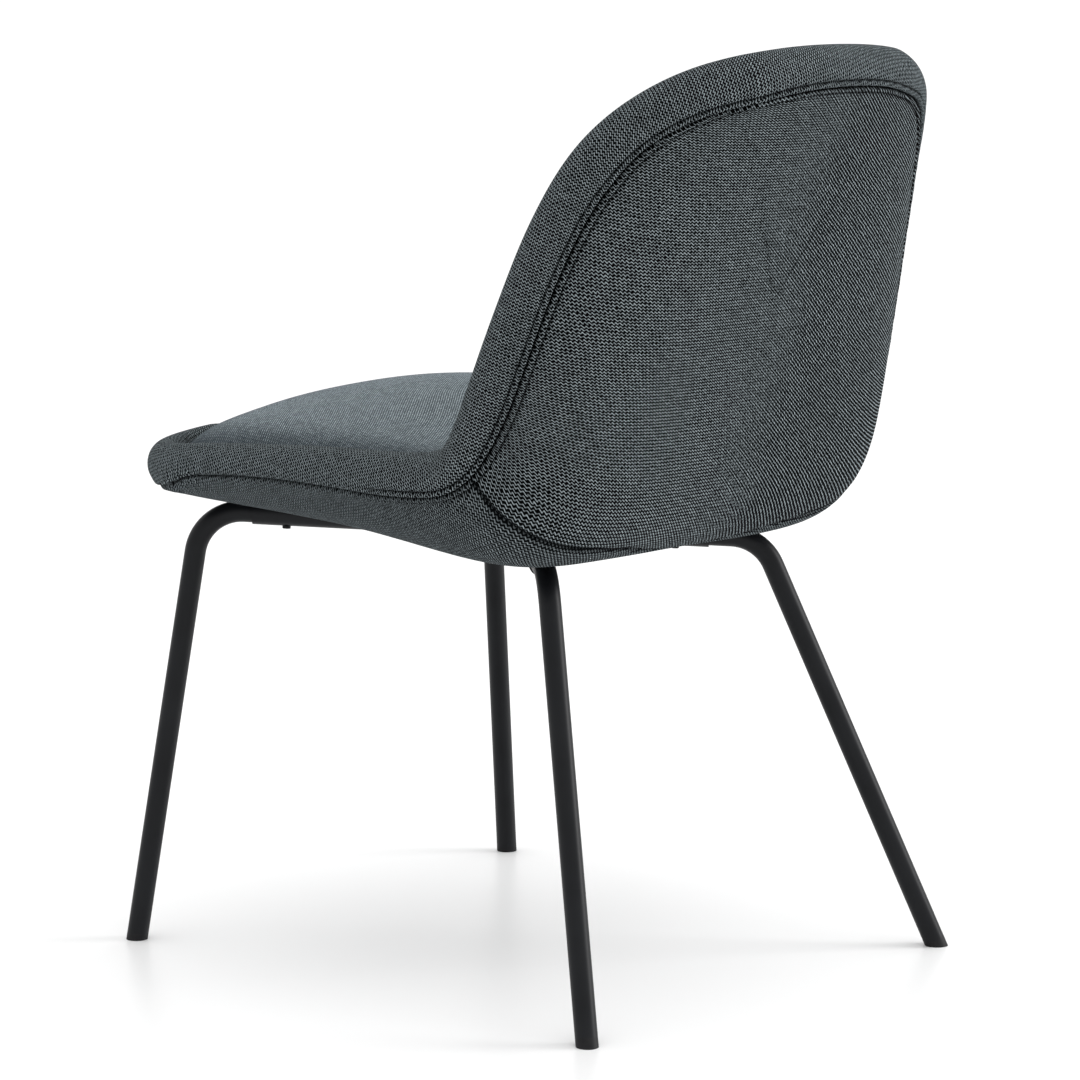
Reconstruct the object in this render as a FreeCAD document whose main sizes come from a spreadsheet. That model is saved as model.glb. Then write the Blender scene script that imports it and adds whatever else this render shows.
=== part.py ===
import FreeCAD, Part
import math
import os

import Sketcher

# Upholstered dining chair: a dished, padded shell on four bent steel legs.
# Frame: +Z up, floor at z = 0, the front of the seat faces -Y, the sitter's left is +X.
# Millimetres. The origin is on the floor under the middle of the outer box.

Vector = FreeCAD.Vector
Rotation = FreeCAD.Rotation
Placement = FreeCAD.Placement

doc = FreeCAD.newDocument("dining_chair")
sheet = doc.addObject("Spreadsheet::Sheet", "Sizes")

SIZES = [
    # steel base
    ("tube_diameter", 19.0),
    ("tube_wall", 1.5),
    ("bend_radius", 42.0),
    ("socket_wall", 1.4),
    ("socket_clearance", 0.1),
    ("socket_mouth", 46.0),
    ("plug_length", 112.0),
    ("plate_side", 150.0),
    ("plate_corner", 14.0),
    ("plate_thickness", 3.0),
    ("bolt_circle_radius", 55.0),
    ("front_foot_x", 240.4),
    ("front_foot_y", -268.6),
    ("rear_foot_x", 230.0),
    ("rear_foot_y", 268.6),
    ("front_knee_x", 184.7),
    ("front_knee_y", -237.2),
    ("front_knee_z", 386.0),
    ("rear_knee_x", 138.3),
    ("rear_knee_y", 138.8),
    ("rear_knee_z", 364.0),
    # glides and fasteners
    ("glide_visible", 6.0),
    ("glide_stem", 16.0),
    ("glide_clearance", 0.1),
    ("lock_screw_diameter", 4.0),
    ("lock_screw_head", 7.5),
    ("lock_screw_head_height", 2.2),
    ("lock_screw_inset", 30.0),
    ("bolt_diameter", 6.0),
    ("bolt_head_diameter", 10.5),
    ("bolt_head_height", 3.3),
    ("bolt_hole_clearance", 0.3),
    ("washer_diameter", 14.0),
    ("washer_thickness", 1.6),
    ("spacer_diameter", 13.0),
    ("nut_barrel_diameter", 9.0),
    ("nut_flange_diameter", 19.0),
    ("nut_flange_thickness", 1.5),
    # padded shell
    ("rim_radius", 24.0),
    ("fabric_thickness", 1.5),
    ("board_thickness", 9.0),
    ("layer_gap", 0.3),
    ("seat_crown", 60.0),
    ("back_crown", 6.0),
    ("seat_half_width", 247.0),
    ("seat_front_y", -266.0),
    ("back_top_z", 783.0),
    ("frame_shift_y", -28.867),
]

for row, (name, value) in enumerate(SIZES, start=1):
    sheet.set("A%d" % row, name)
    sheet.set("B%d" % row, str(value))
    sheet.setAlias("B%d" % row, name)
doc.recompute()


def size(name):
    return float(sheet.get(name))


def bind(obj, prop, expression):
    obj.setExpression(prop, expression)


def cell(name):
    return "Sizes." + name


SHIFT = Vector(0, size("frame_shift_y"), 0)
TUBE_R = size("tube_diameter") / 2
SOCKET_BORE_R = TUBE_R + size("socket_clearance")
SOCKET_R = SOCKET_BORE_R + size("socket_wall")
parts = []


def keep(obj, label):
    obj.Label = label
    parts.append(obj)
    return obj


def role_plane(body, role):
    for feature in body.Origin.OriginFeatures:
        if feature.Role == role:
            return feature
    raise ValueError(role)


def sketch_on(body, role, name, offset=None):
    sketch = body.newObject("Sketcher::SketchObject", name)
    sketch.AttachmentSupport = [(role_plane(body, role), "")]
    sketch.MapMode = "FlatFace"
    if offset is not None:
        sketch.AttachmentOffset = Placement(offset, Rotation())
    return sketch


def add_circle(sketch, centre, radius, expression):
    index = sketch.addGeometry(Part.Circle(centre, Vector(0, 0, 1), radius), False)
    sketch.addConstraint(Sketcher.Constraint("Radius", index, radius))
    bind(sketch, "Constraints[%d]" % (sketch.ConstraintCount - 1), expression)
    for axis, value in (("DistanceX", centre.x), ("DistanceY", centre.y)):
        sketch.addConstraint(Sketcher.Constraint(axis, -1, 1, index, 3, value))
    return index


def add_outline(sketch, points):
    """Closed outline of straight lines with joined corners."""
    first = sketch.GeometryCount
    count = len(points)
    for i in range(count):
        start = Vector(points[i][0], points[i][1], 0)
        end = Vector(points[(i + 1) % count][0], points[(i + 1) % count][1], 0)
        sketch.addGeometry(Part.LineSegment(start, end), False)
    for i in range(count):
        following = first + (i + 1) % count
        sketch.addConstraint(Sketcher.Constraint("Coincident", first + i, 2, following, 1))
    for i in range(count):
        sketch.addConstraint(Sketcher.Constraint("DistanceX", -1, 1, first + i, 1, points[i][0]))
        sketch.addConstraint(Sketcher.Constraint("DistanceY", -1, 1, first + i, 1, points[i][1]))
    return first


def new_body(name):
    return doc.addObject("PartDesign::Body", name)


def frame_placement(origin, x_axis, y_hint):
    """Local X along x_axis, local Y towards y_hint."""
    x_dir = Vector(x_axis).normalize()
    y_dir = y_hint - x_dir * y_hint.dot(x_dir)
    y_dir.normalize()
    z_dir = x_dir.cross(y_dir)
    matrix = FreeCAD.Matrix(
        x_dir.x, y_dir.x, z_dir.x, origin.x,
        x_dir.y, y_dir.y, z_dir.y, origin.y,
        x_dir.z, y_dir.z, z_dir.z, origin.z,
        0, 0, 0, 1,
    )
    return Placement(matrix)


def axis_placement(origin, z_axis):
    return Placement(origin, Rotation(Vector(0, 0, 1), z_axis))


def revolved(name, outline):
    """Body turned about its own Z axis from an outline of (radius, height) points."""
    body = new_body(name)
    sketch = sketch_on(body, "XZ_Plane", name + "_profile")
    add_outline(sketch, outline)
    turn = body.newObject("PartDesign::Revolution", name + "_turn")
    turn.Profile = sketch
    turn.ReferenceAxis = (sketch, ["V_Axis"])
    turn.Angle = 360
    sketch.Visibility = False
    return body


# ---------------------------------------------------------------------------
# Leg geometry: where each tube axis meets the floor, and where its straight
# line meets the straight line of the tube under the seat.

def corner_points(front, side):
    end = "front" if front else "rear"
    foot = Vector(side * size(end + "_foot_x"), size(end + "_foot_y"), 0)
    knee = Vector(side * size(end + "_knee_x"), size(end + "_knee_y"), size(end + "_knee_z"))
    return foot + SHIFT, knee + SHIFT


CORNERS = {
    "front_left": (True, 1),
    "front_right": (True, -1),
    "rear_left": (False, 1),
    "rear_right": (False, -1),
}
OPPOSITE = {
    "front_left": "rear_right",
    "rear_right": "front_left",
    "front_right": "rear_left",
    "rear_left": "front_right",
}
feet = {}
knees = {}
for corner, (is_front, side) in CORNERS.items():
    feet[corner], knees[corner] = corner_points(is_front, side)


def member_direction(corner):
    """Unit vector from a knee inwards along the tube under the seat."""
    return (knees[OPPOSITE[corner]] - knees[corner]).normalize()


def make_leg(corner):
    """Bent tube: a plug inside the socket, one bend, and the straight leg."""
    inward = member_direction(corner)
    down = (feet[corner] - knees[corner]).normalize()
    body = new_body("leg_" + corner)
    leg_length = (feet[corner] - knees[corner]).Length - size("glide_visible")
    turn = math.pi - inward.getAngle(down)
    bend = size("bend_radius")
    tangent_length = bend * math.tan(turn / 2)
    local_down = Vector(-math.cos(turn), math.sin(turn), 0)
    start = Vector(size("plug_length"), 0, 0)
    bend_start = Vector(tangent_length, 0, 0)
    bend_end = local_down * tangent_length
    bend_centre = Vector(tangent_length, bend, 0)
    foot_end = local_down * leg_length
    path = sketch_on(body, "XY_Plane", "path_" + corner)
    arc_circle = Part.Circle(bend_centre, Vector(0, 0, 1), bend)
    arc = Part.ArcOfCircle(arc_circle, 1.5 * math.pi - turn, 1.5 * math.pi)
    path.addGeometry(Part.LineSegment(start, bend_start), False)
    path.addGeometry(arc, False)
    path.addGeometry(Part.LineSegment(bend_end, foot_end), False)
    path.addConstraint(Sketcher.Constraint("Tangent", 0, 2, 1, 2))
    path.addConstraint(Sketcher.Constraint("Tangent", 1, 1, 2, 1))
    path.addConstraint(Sketcher.Constraint("PointOnObject", 0, 1, -1))
    path.addConstraint(Sketcher.Constraint("PointOnObject", 0, 2, -1))
    path.addConstraint(Sketcher.Constraint("Radius", 1, bend))
    bind(path, "Constraints[4]", cell("bend_radius"))
    path.addConstraint(Sketcher.Constraint("DistanceX", -1, 1, 0, 1, start.x))
    bind(path, "Constraints[5]", cell("plug_length"))
    path.addConstraint(Sketcher.Constraint("DistanceX", 2, 2, -1, 1, -foot_end.x))
    path.addConstraint(Sketcher.Constraint("DistanceY", -1, 1, 2, 2, foot_end.y))
    profile = sketch_on(body, "YZ_Plane", "section_" + corner, Vector(0, 0, start.x))
    add_circle(profile, Vector(0, 0, 0), TUBE_R, cell("tube_diameter") + " / 2")
    inner = TUBE_R - size("tube_wall")
    add_circle(profile, Vector(0, 0, 0), inner, cell("tube_diameter") + " / 2 - " + cell("tube_wall"))
    bind(profile, "AttachmentOffset.Base.z", cell("plug_length"))
    pipe = body.newObject("PartDesign::AdditivePipe", "tube_" + corner)
    pipe.Profile = profile
    pipe.Spine = path
    hole_at = Vector(size("socket_mouth") + size("lock_screw_inset"), 0, 0)
    hole_sketch = sketch_on(body, "XZ_Plane", "lock_hole_" + corner)
    add_circle(hole_sketch, hole_at, size("lock_screw_diameter") / 2, cell("lock_screw_diameter") + " / 2")
    hole = body.newObject("PartDesign::Pocket", "lock_pocket_" + corner)
    hole.Profile = hole_sketch
    hole.Length = TUBE_R
    bind(hole, "Length", cell("tube_diameter") + " / 2")
    body.Placement = frame_placement(knees[corner], inward, down)
    for sketch in (path, profile, hole_sketch):
        sketch.Visibility = False
    return keep(body, "leg_" + corner)


def make_glide(corner):
    """Plastic plug in the foot of a leg, cut flat where it stands on the floor."""
    up = (knees[corner] - feet[corner]).normalize()
    lean = up.getAngle(Vector(0, 0, 1))
    stem = TUBE_R - size("tube_wall") - size("glide_clearance")
    reach = TUBE_R * math.tan(lean) + 2.0
    visible = size("glide_visible")
    top = visible + size("glide_stem")
    outline = [
        (0.0, -reach),
        (TUBE_R, -reach),
        (TUBE_R, visible),
        (stem, visible),
        (stem, top - 1.0),
        (stem - 1.0, top),
        (0.0, top),
    ]
    plug = revolved("plug_" + corner, outline)
    plug.Placement = axis_placement(feet[corner], up)
    floor = doc.addObject("Part::Box", "floor_cut_" + corner)
    floor.Length = 80
    floor.Width = 80
    floor.Height = 40
    floor.Placement = Placement(feet[corner] + Vector(-40, -40, -40), Rotation())
    cut = doc.addObject("Part::Cut", "glide_" + corner)
    cut.Base = plug
    cut.Tool = floor
    return keep(cut, "glide_" + corner)


for corner in CORNERS:
    make_leg(corner)
    make_glide(corner)


# ---------------------------------------------------------------------------
# Cross under the seat: one through tube and two half tubes coped to it.

def make_socket_tube(name, corners, length):
    """Straight tube whose local X runs inwards from the first knee."""
    corner = corners[0]
    body = new_body(name)
    profile = sketch_on(body, "YZ_Plane", name + "_section", Vector(0, 0, size("socket_mouth")))
    bind(profile, "AttachmentOffset.Base.z", cell("socket_mouth"))
    bore = cell("tube_diameter") + " / 2 + " + cell("socket_clearance")
    add_circle(profile, Vector(0, 0, 0), SOCKET_R, bore + " + " + cell("socket_wall"))
    add_circle(profile, Vector(0, 0, 0), SOCKET_BORE_R, bore)
    pad = body.newObject("PartDesign::Pad", name + "_tube")
    pad.Profile = profile
    pad.Length = length
    body.Placement = frame_placement(knees[corner], member_direction(corner), Vector(0, 0, -1))
    profile.Visibility = False
    return body


def lock_hole_tool(corner, radius, name):
    """Cylinder through the lower wall of a socket, at its locking screw."""
    along = member_direction(corner)
    down = Vector(0, 0, -1)
    down = (down - along * down.dot(along)).normalize()
    reach = size("socket_mouth") + size("lock_screw_inset")
    tool = doc.addObject("Part::Cylinder", name)
    tool.Radius = radius
    tool.Height = SOCKET_R + 2.0
    tool.Placement = axis_placement(knees[corner] + along * reach, down)
    return tool


def cut_all(base, tools, name):
    fused = tools[0]
    if len(tools) > 1:
        fused = doc.addObject("Part::MultiFuse", name + "_cutters")
        fused.Shapes = tools
    cut = doc.addObject("Part::Cut", name)
    cut.Base = base
    cut.Tool = fused
    return cut


SPAN = (knees["front_left"] - knees["rear_right"]).Length
CROSSING_RATIO = size("front_knee_x") / (size("front_knee_x") + size("rear_knee_x"))
CROSSING = knees["front_left"] + (knees["rear_right"] - knees["front_left"]) * CROSSING_RATIO
HOLE_R = size("lock_screw_diameter") / 2

through = make_socket_tube("through_tube", ("front_left",), SPAN - 2 * size("socket_mouth"))
through_holes = [
    lock_hole_tool("front_left", HOLE_R, "lock_cut_front_left"),
    lock_hole_tool("rear_right", HOLE_R, "lock_cut_rear_right"),
]
keep(cut_all(through, through_holes, "cross_tube_through"), "cross_tube_through")


def make_half_tube(corner):
    length = (CROSSING - knees[corner]).Length - size("socket_mouth")
    half = make_socket_tube("half_tube_" + corner, (corner,), length)
    cope = doc.addObject("Part::Cylinder", "cope_" + corner)
    cope.Radius = SOCKET_R + 0.02
    cope.Height = SPAN
    cope.Placement = axis_placement(knees["front_left"], member_direction("front_left"))
    tools = [cope, lock_hole_tool(corner, HOLE_R, "lock_cut_" + corner)]
    return keep(cut_all(half, tools, "cross_tube_" + corner), "cross_tube_" + corner)


for corner in ("front_right", "rear_left"):
    make_half_tube(corner)


def lock_screw_solid(corner):
    """Button-head screw from below, through the socket into the leg tube."""
    along = member_direction(corner)
    down = Vector(0, 0, -1)
    down = (down - along * down.dot(along)).normalize()
    centre = knees[corner] + along * (size("socket_mouth") + size("lock_screw_inset"))
    shank = Part.makeCylinder(HOLE_R - 0.05, size("socket_wall") + size("tube_wall") + 1.5,
                              centre + down * (TUBE_R - size("tube_wall") - 1.2), down)
    head = Part.makeCylinder(size("lock_screw_head") / 2, size("lock_screw_head_height"),
                             centre + down * (SOCKET_R + 0.05), down)
    return shank.fuse(head).removeSplitter()


lock_screws = doc.addObject("Part::Feature", "leg_lock_screws")
lock_screws.Shape = Part.makeCompound([lock_screw_solid(corner) for corner in CORNERS])
keep(lock_screws, "leg_lock_screws")


# ---------------------------------------------------------------------------
# Mounting plate on top of the cross, square to the plane of the two tubes.

PLATE_NORMAL = member_direction("front_left").cross(member_direction("front_right"))
if PLATE_NORMAL.z < 0:
    PLATE_NORMAL = -PLATE_NORMAL
PLATE_NORMAL.normalize()
PLATE_BOTTOM = CROSSING + PLATE_NORMAL * SOCKET_R
PLATE_ROTATION = Rotation(Vector(0, 0, 1), PLATE_NORMAL)
BOLT_HOLE_R = size("bolt_diameter") / 2 + size("bolt_hole_clearance")
BOLT_ANGLES = (0, 90, 180, 270)


def plate_point(x, y, lift=0.0):
    return PLATE_BOTTOM + PLATE_ROTATION.multVec(Vector(x, y, lift))


def bolt_base(angle):
    radius = size("bolt_circle_radius")
    return (radius * math.cos(math.radians(angle)), radius * math.sin(math.radians(angle)))


plate = new_body("plate")
plate_sketch = sketch_on(plate, "XY_Plane", "plate_outline")
half_side = size("plate_side") / 2
add_outline(plate_sketch, [
    (-half_side, -half_side),
    (half_side, -half_side),
    (half_side, half_side),
    (-half_side, half_side),
])
plate_pad = plate.newObject("PartDesign::Pad", "plate_sheet")
plate_pad.Profile = plate_sketch
plate_pad.Length = size("plate_thickness")
bind(plate_pad, "Length", cell("plate_thickness"))
doc.recompute()
upright_edges = []
for number, edge in enumerate(plate_pad.Shape.Edges, start=1):
    if edge.BoundBox.ZLength > 0.5 * size("plate_thickness"):
        upright_edges.append("Edge%d" % number)
rounding = plate.newObject("PartDesign::Fillet", "plate_rounding")
rounding.Base = (plate_pad, upright_edges)
rounding.Radius = size("plate_corner")
bind(rounding, "Radius", cell("plate_corner"))
hole_sketch = sketch_on(plate, "XY_Plane", "plate_holes")
for angle in BOLT_ANGLES:
    hole_x, hole_y = bolt_base(angle)
    hole_radius = cell("bolt_diameter") + " / 2 + " + cell("bolt_hole_clearance")
    add_circle(hole_sketch, Vector(hole_x, hole_y, 0), BOLT_HOLE_R, hole_radius)
plate_pocket = plate.newObject("PartDesign::Pocket", "plate_drilling")
plate_pocket.Profile = hole_sketch
plate_pocket.Type = 1
plate_pocket.Reversed = True
plate.Tip = plate_pocket
plate.Placement = Placement(PLATE_BOTTOM, PLATE_ROTATION)
plate_sketch.Visibility = False
hole_sketch.Visibility = False
keep(plate, "mounting_plate")


# ---------------------------------------------------------------------------
# Padded shell. Two guide curves carry it from the front edge of the seat to
# the top of the back: one in the middle plane and one along the middle of the
# rolled rim. A section between them rises with a power of the distance from
# the middle plane, so the seat and the back are dished.

RIM_R = size("rim_radius")
FABRIC = size("fabric_thickness")
GAP = size("layer_gap")
BOARD_HALF = size("board_thickness") / 2
WIDTH = size("seat_half_width")
FRONT = size("seat_front_y")
TOP = size("back_top_z")
INNER_POWER = 2.4
PAD_END = 0.50
SEAT_END = 0.47
HALF_STATIONS = 38
BACK_START = 0.48

CENTRE_GUIDE = [
    (FRONT, 430), (FRONT + 12, 426), (FRONT + 52, 422), (FRONT + 136, 418), (-12, 413),
    (93, 396), (165, 391), (202, 426), (220, 528), (245, 605), (270, 684),
    (293, TOP - 45), (310, TOP - 17), (322, TOP),
]
RIM_GUIDE = [
    (WIDTH - 101, FRONT + 7, 434), (WIDTH - 48, FRONT + 9, 431), (WIDTH - 10, FRONT + 40, 430),
    (WIDTH - 2, FRONT + 129, 440), (WIDTH, -6, 449), (WIDTH, 84, 450), (WIDTH - 4, 142, 456),
    (WIDTH - 9, 158, 492), (WIDTH - 14, 175, 539), (WIDTH - 29, 203, 628),
    (WIDTH - 50, 233, TOP - 79), (WIDTH - 81, 266, TOP - 34), (WIDTH - 119, 295, TOP - 12),
    (WIDTH - 157, 312, TOP - 5),
]
# How square the underside is, from the front of the seat to the top of the back.
OUTER_POWER_GUIDE = [4.5, 5.4, 9.0, 8.0, 4.5, 3.4, 2.5, 2.4]


def guide_curve(points):
    count = len(points)
    spans = count - 3
    knots = [i / spans for i in range(spans + 1)]
    mults = [4] + [1] * (spans - 1) + [4]
    curve = Part.BSplineCurve()
    curve.buildFromPolesMultsKnots([Vector(*p) for p in points], mults, knots, False, 3)
    return curve


centre_guide = guide_curve([(0, y, z) for y, z in CENTRE_GUIDE])
rim_guide = guide_curve(RIM_GUIDE)
power_guide = guide_curve([(power, 0, 0) for power in OUTER_POWER_GUIDE])


def section_point(u, v, power):
    centre = centre_guide.value(v)
    rim = rim_guide.value(v)
    share = abs(u) ** power
    y = centre.y + (rim.y - centre.y) * share
    z = centre.z + (rim.z - centre.z) * share
    return Vector(u * rim.x, y, z) + SHIFT


def section_normal(u, v, power):
    """Unit normal of the section surface, towards the sitter."""
    step = 1e-4
    across_u = max(-0.999, min(0.999, u))
    along_v = max(2 * step, min(1 - 2 * step, v))
    across = section_point(across_u + step, v, power) - section_point(across_u - step, v, power)
    near = 0.72 * u
    along = section_point(near, along_v + step, power) - section_point(near, along_v - step, power)
    along.x = 0
    return across.cross(along).normalize()


def ease(value):
    value = max(0.0, min(1.0, value))
    return value * value * (3 - 2 * value)


def mid_point(u, v, lift):
    return section_point(u, v, INNER_POWER) + section_normal(u, v, INNER_POWER) * lift


def crown(u, v):
    """Extra height of the padding towards the sitter."""
    across = 1 - u * u
    seat = 0.0
    if 0 < v < PAD_END:
        seat = size("seat_crown") * math.sin(math.pi * v / PAD_END) ** 0.6
    back = size("back_crown") * ease((v - PAD_END) / 0.15) * ease((1 - v) / 0.15)
    return across * (seat + back)


def front_point(u, v, depth):
    """Point of the sitter's side, a given depth under the finished surface."""
    return mid_point(u, v, RIM_R + crown(u, v) - depth)


def rear_point(u, v, depth):
    """Point of the outer side, a given depth under the finished surface."""
    power = power_guide.value(v).x
    base = section_point(u, v, power)
    share = ease((1 - abs(u)) / 0.12)
    normal = section_normal(u, v, power) * share + section_normal(u, v, INNER_POWER) * (1 - share)
    return base - normal.normalize() * (RIM_R - depth)


def spline_surface(rows):
    surface = Part.BSplineSurface()
    surface.interpolate(rows)
    return surface


def closed_solid(faces):
    shell = Part.makeShell(faces)
    shell.sewShape()
    solid = Part.makeSolid(Part.Shell(shell.Faces))
    if solid.Volume < 0:
        solid.reverse()
    return solid


def layer_solid(top_rows, bottom_rows):
    """Solid between two grids of points that have the same shape."""
    top = spline_surface(top_rows)
    bottom = spline_surface(bottom_rows)
    faces = [top.toShape(), bottom.toShape()]
    u_first, u_last, v_first, v_last = top.bounds()
    b_first, b_last, c_first, c_last = bottom.bounds()
    pairs = [
        (top.uIso(u_first), bottom.uIso(b_first)),
        (top.uIso(u_last), bottom.uIso(b_last)),
        (top.vIso(v_first), bottom.vIso(c_first)),
        (top.vIso(v_last), bottom.vIso(c_last)),
    ]
    for upper, lower in pairs:
        faces.append(Part.makeRuledSurface(upper.toShape(), lower.toShape()))
    return closed_solid(faces)


def grid(point_function, v_start, v_end, rows, columns=17):
    """Rows of points from v_start to v_end. The ends may depend on u."""
    result = []
    for i in range(rows):
        share = i / (rows - 1)
        row = []
        for j in range(columns):
            u = -1 + 2 * j / (columns - 1)
            first = v_start(u) if callable(v_start) else v_start
            last = v_end(u) if callable(v_end) else v_end
            row.append(point_function(u, first + (last - first) * share))
        result.append(row)
    return result


def layer(upper, lower, v_start, v_end, rows):
    return layer_solid(grid(upper, v_start, v_end, rows), grid(lower, v_start, v_end, rows))


def rear_seam(u):
    """Where the seam between the underside and the outer back crosses the shell."""
    return 0.43 + 0.05 * abs(u) ** 2.2


def outline_stations():
    """(u, v) once round the rim, evenly spaced, from the middle of the front edge."""
    fine = [(i / 40, 0.0) for i in range(40)]
    fine += [(1.0, i / 400) for i in range(401)]
    fine += [(1 - i / 30, 1.0) for i in range(1, 31)]
    travelled = [0.0]
    for before, after in zip(fine, fine[1:]):
        step = section_point(*after, INNER_POWER) - section_point(*before, INNER_POWER)
        travelled.append(travelled[-1] + step.Length)
    right = []
    for i in range(HALF_STATIONS):
        target = travelled[-1] * i / HALF_STATIONS
        index = 0
        while travelled[index + 1] < target:
            index += 1
        share = (target - travelled[index]) / (travelled[index + 1] - travelled[index])
        (u_before, v_before), (u_after, v_after) = fine[index], fine[index + 1]
        right.append((u_before + (u_after - u_before) * share, v_before + (v_after - v_before) * share))
    right.append(fine[-1])
    left = [(-u, v) for u, v in reversed(right[:-1])]
    return right + left


def rim_frames():
    """Centre of the roll, outward direction and normal at each station."""
    stations = outline_stations()
    points = [section_point(u, v, INNER_POWER) for u, v in stations]
    count = len(stations) - 1
    frames = []
    for i, (u, v) in enumerate(stations):
        normal = section_normal(u, v, INNER_POWER)
        tangent = points[(i + 1) % count] - points[(i - 1) % count]
        if i == count:
            tangent = points[1] - points[count - 1]
        outward = tangent.cross(normal).normalize()
        frames.append((points[i], outward, normal))
    return frames


RIM_FRAMES = rim_frames()


def roll_rows(radius, start_angle, end_angle, steps, inset):
    rows = []
    for centre, outward, normal in RIM_FRAMES:
        row = []
        for i in range(steps + 1):
            angle = math.radians(start_angle + (end_angle - start_angle) * i / steps)
            offset = outward * (radius * math.cos(angle) + inset) + normal * (radius * math.sin(angle))
            row.append(centre + offset)
        rows.append(row)
    return rows


def ring_between(outer_rows, inner_rows):
    """Ring between two bands, made as a right and a left half that meet in the middle plane."""
    faces = []
    for first, last in ((0, HALF_STATIONS), (HALF_STATIONS, 2 * HALF_STATIONS)):
        outer = spline_surface(outer_rows[first:last + 1])
        inner = spline_surface(inner_rows[first:last + 1])
        faces += [outer.toShape(), inner.toShape()]
        outer_bounds = outer.bounds()
        inner_bounds = inner.bounds()
        for border in (2, 3):
            upper = outer.vIso(outer_bounds[border]).toShape()
            lower = inner.vIso(inner_bounds[border]).toShape()
            faces.append(Part.makeRuledSurface(upper, lower))
    return closed_solid(faces)


def half_round_ring(rows):
    """Ring with a half-round outer side and a flat inner side, in the same two halves."""
    faces = []
    for first, last in ((0, HALF_STATIONS), (HALF_STATIONS, 2 * HALF_STATIONS)):
        outer = spline_surface(rows[first:last + 1])
        bounds = outer.bounds()
        faces.append(outer.toShape())
        faces.append(Part.makeRuledSurface(outer.vIso(bounds[2]).toShape(), outer.vIso(bounds[3]).toShape()))
    return closed_solid(faces)


def add_shape(name, shape):
    feature = doc.addObject("Part::Feature", name)
    feature.Shape = shape
    return keep(feature, name)


def along_plate(angle, radius):
    """Points round a bolt axis, in the plane of the plate's underside."""
    hole_x, hole_y = bolt_base(angle)
    ring = [(hole_x, hole_y)]
    for i in range(8):
        turn = math.radians(45 * i)
        ring.append((hole_x + radius * math.cos(turn), hole_y + radius * math.sin(turn)))
    return [plate_point(x, y) for x, y in ring]


def crossings(solid, angle, radius):
    """Nearest and farthest distance along the plate's normal, on entry and on exit."""
    entries = []
    exits = []
    for start in along_plate(angle, radius):
        probe = Part.makeLine(start, start + PLATE_NORMAL * 90)
        cut = solid.common(probe)
        heights = [(vertex.Point - start).dot(PLATE_NORMAL) for vertex in cut.Vertexes]
        entries.append(min(heights))
        exits.append(max(heights))
    return min(entries), max(exits)


def bolt_cylinder(angle, radius, start, end):
    hole_x, hole_y = bolt_base(angle)
    return Part.makeCylinder(radius, end - start, plate_point(hole_x, hole_y, start), PLATE_NORMAL)


def drill(solid, radius, start=-5.0, end=90.0):
    for angle in BOLT_ANGLES:
        solid = solid.cut(bolt_cylinder(angle, radius, start, end))
    return solid


# Moulded board that carries the padding.
board = layer(
    lambda u, v: mid_point(u, v, BOARD_HALF),
    lambda u, v: mid_point(u, v, -BOARD_HALF),
    0.0, 1.0, 40,
)
SPACER_R = size("spacer_diameter") / 2
FLANGE_R = size("nut_flange_diameter") / 2
seat_levels = {}
for angle in BOLT_ANGLES:
    seat_levels[angle] = (crossings(board, angle, SPACER_R)[0], crossings(board, angle, FLANGE_R)[1])
BARREL_R = size("nut_barrel_diameter") / 2
add_shape("shell_board", drill(board, BARREL_R + 0.1))


def fastener(angle, kind):
    plate_top = size("plate_thickness")
    entry, leaving = seat_levels[angle]
    bolt_r = size("bolt_diameter") / 2
    if kind == "spacer":
        solid = bolt_cylinder(angle, SPACER_R, plate_top, entry - 0.1)
        return solid.cut(bolt_cylinder(angle, BOLT_HOLE_R, plate_top - 1, entry + 1))
    if kind == "nut":
        barrel = bolt_cylinder(angle, BARREL_R, entry + 0.5, leaving + 0.2)
        flange_top = leaving + 0.1 + size("nut_flange_thickness")
        flange = bolt_cylinder(angle, FLANGE_R, leaving + 0.1, flange_top)
        return barrel.fuse(flange).cut(bolt_cylinder(angle, bolt_r + 0.1, entry - 1, flange_top + 1))
    if kind == "washer":
        disc = bolt_cylinder(angle, size("washer_diameter") / 2, -size("washer_thickness"), 0)
        return disc.cut(bolt_cylinder(angle, BOLT_HOLE_R, -size("washer_thickness") - 1, 1))
    shank = bolt_cylinder(angle, bolt_r, -size("washer_thickness"), leaving + 1.0)
    head_low = -size("washer_thickness") - size("bolt_head_height")
    head = bolt_cylinder(angle, size("bolt_head_diameter") / 2, head_low, -size("washer_thickness"))
    socket = bolt_cylinder(angle, 2.0, head_low - 1, head_low + 2.0)
    return shank.fuse(head).cut(socket)


for name, kind in (
    ("seat_spacers", "spacer"),
    ("seat_tee_nuts", "nut"),
    ("seat_washers", "washer"),
    ("seat_bolts", "bolt"),
):
    add_shape(name, Part.makeCompound([fastener(angle, kind) for angle in BOLT_ANGLES]))


def member_cutter(corner, margin):
    """Space taken by a tube under the seat, where it presses into the soft underside."""
    start = knees[corner] - member_direction(corner) * 20
    return Part.makeCylinder(SOCKET_R + margin, SPAN, start, member_direction(corner))


def bend_cutter(corner, margin):
    """Block over the bend of a leg, as deep as the tube, on the outer side of its socket."""
    along = member_direction(corner)
    down = (feet[corner] - knees[corner]).normalize()
    radius = TUBE_R + margin
    sphere = Part.makeSphere(radius, knees[corner] + along * radius)
    return sphere.fuse(Part.makeCylinder(radius, 150, knees[corner], down))


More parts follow.
